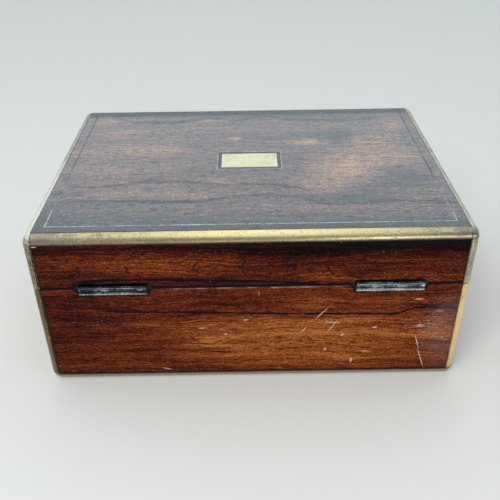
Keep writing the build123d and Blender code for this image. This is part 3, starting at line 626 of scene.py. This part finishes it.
# Old oil has turned the hinges and screws nearly black, so that painted highlights along the arrises stand
# out on them
leaf_brass = aged_metal("grimy_hinge_brass", 0, "#ccd1cb", "#2b353f", tarnish=1.08, roughness=0.34,
                        wear_and_sheen=leaf_wear_highlights_and_shade)
# Inside, the lock keeps a warm lacquer, and its steel bolt a dull grey with the marks of the file
case_brass = aged_metal("lacquered_lock_brass", 0, "#d9b96c", "#8a6f3c", tarnish=0.5, roughness=0.32)
bolt_steel = aged_metal("filed_steel", 0, "#8b8e92", "#4c4b49", tarnish=0.5, roughness=0.34)

# Silk velvet: a short dark green pile that lies different ways in patches and is pale at grazing angles
velvet, n = new_material("green_silk_velvet")
vector = object_mm(n)[0]
nap = patches(n, vector, 26.0, 26.0, 2.0)
pile = patches(n, vector, 0.9, 0.9, 1.0)
green = blend(n, sum_of(n, -0.6, (nap, 1.3), (pile, 0.9)), "#0f2418", "#2e5a3c")
finish_material(n, Base_Color=green, Roughness=0.95, Specular_IOR_Level=0.1, Sheen_Weight=0.5,
                Sheen_Roughness=0.4,
                Normal=n("Bump", {"Height": pile, "Strength": 0.5, "Distance": 0.3 * MM}))

# The finish for each packed slot, and for the nodes that have one of their own
slot_names = {name: node.material_slots[0].material.name for name, node in frame["nodes"].items()}
finishes = {
    "rosewood_veneer": rosewood_end,
    "carcass_wood": carcass_long,
    "liner_rosewood": liner_long,
    "ebonised_wood": ebony,
    "moulding_brass": edging_brass[0],
    "inlay_brass": line_brass,
    "hinge_brass": leaf_brass,
    "lock_brass": case_brass,
    "lock_steel": bolt_steel,
    "lining_velvet": velvet,
}
own_finishes = {
    "lid_back_veneer": rosewood_back,
    "base_back_veneer": rosewood_back,
    "lid_front_veneer": rosewood_front,
    "base_front_veneer": rosewood_front,
    "lid_top_veneer": rosewood_top,
    "name_plate": plate_brass,
    "keyhole_escutcheon": case_brass,
    "base_left_board": carcass_end,
    "base_right_board": carcass_end,
    "lid_left_board": carcass_end,
    "lid_right_board": carcass_end,
    "base_left_liner": liner_end,
    "base_right_liner": liner_end,
    "envelope_divider": liner_end,
}
for name, node in frame["nodes"].items():
    for slot in node.material_slots:
        slot.material = own_finishes.get(name, finishes[slot_names[name]])


def select_only(piece):
    """Makes piece the one selected and active object."""
    bpy.ops.object.select_all(action="DESELECT")
    piece.select_set(True)
    bpy.context.view_layer.objects.active = piece


def edit_all(piece):
    """Opens piece in edit mode with all of it selected."""
    select_only(piece)
    bpy.ops.object.mode_set(mode="EDIT")
    bpy.ops.mesh.select_mode(type="VERT")
    bpy.ops.mesh.select_all(action="SELECT")


def settle(piece):
    """Puts piece's place, turn and size into its mesh."""
    select_only(piece)
    bpy.ops.object.transform_apply(location=True, rotation=True, scale=True)


def copy_of(master, name):
    """A copy of a piece with a mesh of its own."""
    copy = bpy.data.objects.new(name, master.data.copy())
    scene.collection.objects.link(copy)
    copy.data.name = name
    return copy


def soften(piece, edge, segments=2):
    """Rounds the sharp edges of piece by edge metres, then shades its curves smooth."""
    sharp = math.radians(35)
    select_only(piece)
    bevel = piece.modifiers.new("softened edges", "BEVEL")
    bevel.width = edge
    bevel.segments = segments
    bevel.limit_method = "ANGLE"
    bevel.angle_limit = sharp
    bpy.ops.object.modifier_apply(modifier=bevel.name)
    bpy.ops.object.shade_smooth_by_angle(angle=sharp)


def dress(piece, material):
    """Gives piece one material."""
    piece.data.materials.clear()
    piece.data.materials.append(material)


def stand_for(piece, node_name):
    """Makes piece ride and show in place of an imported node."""
    node = frame["nodes"][node_name]
    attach(piece, node["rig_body"])
    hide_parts(node_name)


def filed(node_name, edge):
    """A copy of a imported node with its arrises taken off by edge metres, to be shown in its place."""
    piece = copy_of(frame["nodes"][node_name], node_name + "_filed")
    edit_all(piece)
    bpy.ops.mesh.remove_doubles(threshold=1e-6)
    bpy.ops.mesh.dissolve_limited(angle_limit=math.radians(1.0))
    bpy.ops.object.mode_set(mode="OBJECT")
    bpy.ops.mesh.customdata_custom_splitnormals_clear()
    soften(piece, edge)
    stand_for(piece, node_name)
    return piece


# Brass edging: one rounded form of the box's size, sawn into the lengths that were pinned on
arc_facets = 12
sawn_arris = 0.22 * MM
bpy.ops.object.select_all(action="DESELECT")
bpy.ops.mesh.primitive_cube_add(size=1.0, location=(0, 0, box_height / 2))
edging = bpy.context.object
edging.scale = (2 * half_width, 2 * half_depth, box_height)
settle(edging)
edit_all(edging)
bpy.ops.mesh.bevel(offset=brass_radius, offset_type="OFFSET", segments=arc_facets, affect="EDGES")
bpy.ops.object.mode_set(mode="OBJECT")


def brass_length(node_name):
    """One length of the edging, sawn from the rounded form at the ends and inner faces of its node."""
    piece = copy_of(edging, node_name + "_brass")
    edit_all(piece)
    for corner, side in zip(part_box(node_name), (-1, 1)):
        for axis in range(3):
            outward = Vector([side * (axis == i) for i in range(3)])
            bpy.ops.mesh.select_all(action="SELECT")
            bpy.ops.mesh.bisect(plane_co=corner, plane_no=outward, use_fill=True, clear_outer=True)
    bpy.ops.object.mode_set(mode="OBJECT")
    soften(piece, sawn_arris)
    stand_for(piece, node_name)
    return piece


def longest_axis(node_name):
    """The axis that a node is longest along: 0, 1 or 2."""
    low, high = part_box(node_name)
    return max(range(3), key=lambda axis: high[axis] - low[axis])


brass_nodes = [name for name in frame["nodes"] if slot_names[name] == "moulding_brass"]
for name in brass_nodes:
    dress(brass_length(name), edging_brass[longest_axis(name)])
bpy.data.objects.remove(edging)

# Pins that hold the edging down, filed off nearly flush with it
pin_radius = 0.65 * MM
pin_stand = 0.05 * MM
pin_depth = 0.8 * MM
bpy.ops.object.select_all(action="DESELECT")
bpy.ops.mesh.primitive_cylinder_add(vertices=16, radius=pin_radius, depth=pin_depth,
                                    location=(0, 0, pin_stand - pin_depth / 2))
pin = bpy.context.object
settle(pin)
soften(pin, 0.12 * MM)


def drive_pin(name, body, centre, outward):
    """Copies the pin into the edging's round, whose centre and outward direction are given."""
    piece = copy_of(pin, name)
    outward = Vector(outward).normalized()
    piece.matrix_world = Matrix.Translation(Vector(centre) + outward * brass_radius) \
        @ outward.to_track_quat("Z", "X").to_matrix().to_4x4()
    settle(piece)
    dress(piece, edging_brass[2])
    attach(piece, body)


pin_inset = 4.5 * MM
for across in (-1, 1):
    for along in (-1, 1):
        corner = f"{'front' if along < 0 else 'back'}_{'left' if across < 0 else 'right'}"
        x, y = across * rebate_x, along * rebate_y
        for body in ("base", "lid"):
            low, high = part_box(f"{body}_corner_{corner}")
            for end, height in (("low", low.z + pin_inset), ("high", high.z - pin_inset)):
                drive_pin(f"{body}_{corner}_{end}_pin", body, (x, y, height), (across, along, 0))
        drive_pin(f"top_{corner}_pin", "lid", (x, y, box_height - brass_radius), (across, along, 1))
        drive_pin(f"bottom_{corner}_pin", "base", (x, y, brass_radius), (across, along, -1))
bpy.data.objects.remove(pin)

# Hinges, lock and the keyhole's lining keep their packed forms, with the arrises filed off
hinge_leaves = [f"hinge_{side}_{half}_leaf" for side in ("left", "right") for half in ("lower", "upper")]
for name in hinge_leaves:
    dress(filed(name, 0.13 * MM), leaf_brass)
for name in ("lock_case", "lock_keep"):
    dress(filed(name, 0.15 * MM), case_brass)
dress(filed("lock_bolt", 0.12 * MM), bolt_steel)
dress(filed("keyhole_escutcheon", 0.1 * MM), case_brass)

# Screws: one countersunk screw with its slot, copied into both leaves of each hinge and both lock plates
head_radius = 2.08 * MM
shank_radius = 1.05 * MM
head_land = 0.15 * MM
head_taper = 0.95 * MM
shank_length = 6.8 * MM
slot_width = 0.6 * MM
slot_depth = 0.5 * MM
bpy.ops.object.select_all(action="DESELECT")
bpy.ops.mesh.primitive_circle_add(vertices=28, radius=head_radius, fill_type="NGON")
screw = bpy.context.object
edit_all(screw)
for drop, share in ((head_land, 1.0), (head_taper, shank_radius / head_radius), (shank_length, 1.0)):
    bpy.ops.mesh.extrude_region_move(TRANSFORM_OT_translate={"value": (0, 0, -drop)})
    bpy.ops.transform.resize(value=(share, share, 1), center_override=(0, 0, 0))
bpy.ops.mesh.select_all(action="SELECT")
bpy.ops.mesh.normals_make_consistent(inside=False)
bpy.ops.object.mode_set(mode="OBJECT")
bpy.ops.mesh.primitive_cube_add(size=1.0)
slot_cutter = bpy.context.object
slot_cutter.scale = (3 * head_radius, slot_width, 2 * slot_depth)
settle(slot_cutter)
select_only(screw)
slot_cut = screw.modifiers.new("slot", "BOOLEAN")
slot_cut.object = slot_cutter
slot_cut.solver = "EXACT"
bpy.ops.object.modifier_apply(modifier=slot_cut.name)
bpy.data.objects.remove(slot_cutter)
soften(screw, 0.06 * MM, segments=1)


def screw_group(node_name, points_up):
    """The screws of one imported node: three in each leaf and two in the lock's plate. Their slots point
    all ways, as screws that were driven home do."""
    joined = []
    for index, (x, y) in enumerate(screw_places):
        piece = copy_of(screw, f"{node_name}_{index}")
        turn = Matrix.Rotation(math.radians(37 * index + 12), 4, "Z")
        flip = Matrix.Rotation(math.pi if points_up else 0.0, 4, "X")
        piece.matrix_world = Matrix.Translation((x, y, parting)) @ flip @ turn
        settle(piece)
        joined.append(piece)
    bpy.ops.object.select_all(action="DESELECT")
    for piece in joined:
        piece.select_set(True)
    bpy.context.view_layer.objects.active = joined[0]
    bpy.ops.object.join()
    joined[0].name = node_name + "_turned"
    dress(joined[0], leaf_brass)
    stand_for(joined[0], node_name)


# Where the screws stand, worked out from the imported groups, leaves and lock. packed_head is the
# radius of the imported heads
screw_low, screw_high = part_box("base_screws")
leaf_low, leaf_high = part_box("hinge_right_lower_leaf")
hinge_middle = (leaf_low.x + leaf_high.x) / 2
packed_head = 2.1 * MM
screw_spacing = screw_high.x - packed_head - hinge_middle
hinge_row = screw_high.y - packed_head
lock_row = screw_low.y + packed_head
case_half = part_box("lock_cover")[1].x
lock_screw_x = (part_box("lock_case")[1].x + case_half) / 2
screw_places = [(side * hinge_middle + step * screw_spacing, hinge_row)
                for side in (-1, 1) for step in (-1, 0, 1)]
screw_places += [(-lock_screw_x, lock_row), (lock_screw_x, lock_row)]
screw_group("base_screws", points_up=False)
screw_group("lid_screws", points_up=True)
bpy.data.objects.remove(screw)


def velvet_panel(node_name, rows, sag, faces_up):
    """A velvet-covered board that fills its node's box, with turned-over edges and a soft surface that
    sags by up to sag metres. rows is how many rows of faces it has."""
    low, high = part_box(node_name)
    middle = (low + high) / 2
    size = high - low
    bpy.ops.object.select_all(action="DESELECT")
    columns = int(rows * size.x / size.y)
    bpy.ops.mesh.primitive_grid_add(x_subdivisions=columns, y_subdivisions=rows, size=1.0,
                                    location=(middle.x, middle.y, high.z))
    panel = bpy.context.object
    panel.scale = (size.x, size.y, 1.0)
    settle(panel)
    roll = 1.2 * MM
    deepest = 0.8 * size.z
    waves_per_metre = 28.0
    for vertex in panel.data.vertices:
        inset = min(size.x / 2 - abs(vertex.co.x - middle.x), size.y / 2 - abs(vertex.co.y - middle.y))
        share = min(max(1.0 - inset / roll, 0.0), 1.0)
        rounded = roll * (1.0 - math.sqrt(1.0 - share * share))
        spot = Vector((vertex.co.x, vertex.co.y, 0.0)) * waves_per_metre
        vertex.co.z -= min(rounded + sag * (0.5 + 0.5 * noise.noise(spot)), deepest)
    edit_all(panel)
    bpy.ops.mesh.extrude_region_move(TRANSFORM_OT_translate={"value": (0, 0, -size.z)})
    bpy.ops.mesh.select_all(action="SELECT")
    bpy.ops.mesh.normals_make_consistent(inside=False)
    bpy.ops.object.mode_set(mode="OBJECT")
    for vertex in panel.data.vertices:
        vertex.co.z = max(vertex.co.z, low.z)
    if not faces_up:
        for vertex in panel.data.vertices:
            vertex.co.z = low.z + high.z - vertex.co.z
        edit_all(panel)
        bpy.ops.mesh.normals_make_consistent(inside=False)
        bpy.ops.object.mode_set(mode="OBJECT")
    bpy.ops.object.shade_smooth_by_angle(angle=math.radians(50))
    panel.name = node_name + "_velvet"
    dress(panel, velvet)
    stand_for(panel, node_name)


velvet_panel("floor_lining", rows=60, sag=0.25 * MM, faces_up=True)
velvet_panel("lid_lining_panel", rows=60, sag=0.35 * MM, faces_up=False)


# Floor: plain pale paper
bpy.ops.object.select_all(action="DESELECT")
bpy.ops.mesh.primitive_plane_add(size=8.0)
floor = bpy.context.object
floor.name = "floor"
floor_finish, n = new_material("pale_paper_floor")
finish_material(n, Base_Color=linear("#dedad2"), Roughness=0.85, Specular_IOR_Level=0.2)
floor.data.materials.append(floor_finish)

# World: a soft sky behind and over the box, brighter overhead and to one side and dimmer near the
# ground, which gives polish and brass a gradient to show. The camera sees an even pale backdrop
world = bpy.data.worlds.new("studio")
scene.world = world
world.use_nodes = True
world.node_tree.nodes.clear()
w = functools.partial(add, world.node_tree)
direction = w("TexCoord", out="Generated")
toward_dome = w("VectorMath", {0: direction, 1: (0.0, -0.5, 0.866)}, out=1, operation="DOT_PRODUCT")
dome = fade(w, toward_dome, -0.1, 0.75, 0.2, 0.92)
sky_x, sky_y, sky_z = (w("SeparateXYZ", {0: direction}, out=axis) for axis in "XYZ")
off_middle = w("Math", {0: sky_x}, operation="ABSOLUTE")
overhead = product(w, fade(w, off_middle, 0.4, 0.05), fade(w, sky_z, 0.5, 0.8))
low_behind = product(w, fade(w, sky_y, -0.5, -0.9), fade(w, sky_z, 0.25, 0.0))
strength = sum_of(w, dome, (overhead, 0.45), (fade(w, sky_x, 0.2, 0.9), 0.5), (low_behind, -0.5))
sideways = fade(w, off_middle, 0.15, 0.8)
sky = blend(w, sideways, "#eef5fa", "#d3ebfb")
lit = w("Background", {"Color": sky, "Strength": strength})
backdrop = w("Background", {"Color": linear("#dfe3e4"), "Strength": 1.0})
seen_directly = w("LightPath", out="Is Camera Ray")
w("OutputWorld", {"Surface": w("MixShader", {0: seen_directly, 1: lit, 2: backdrop})})


# Lamps: a soft key over the camera's side and a low wide one that puts a glint on the brass
def softbox(name, place, aim, width, height, power, reflected):
    """A soft lamp at place that points at aim, in metres and watts. reflected is whether polished
    metal shows it."""
    bpy.ops.object.light_add(type="AREA", location=place)
    lamp = bpy.context.object
    lamp.name = name
    lamp.data.shape = "RECTANGLE"
    lamp.data.size = width
    lamp.data.size_y = height
    lamp.data.energy = power
    lamp.visible_glossy = reflected
    lamp.rotation_euler = (Vector(aim) - Vector(place)).to_track_quat("-Z", "Y").to_euler()


softbox("key", (0.5, 1.1, 1.3), (0, 0, 0.06), width=0.9, height=0.9, power=15.0, reflected=False)
softbox("low_glint", (-1.5, 2.0, 0.3), (0, 0, 0.09), width=1.8, height=0.3, power=7.0, reflected=True)
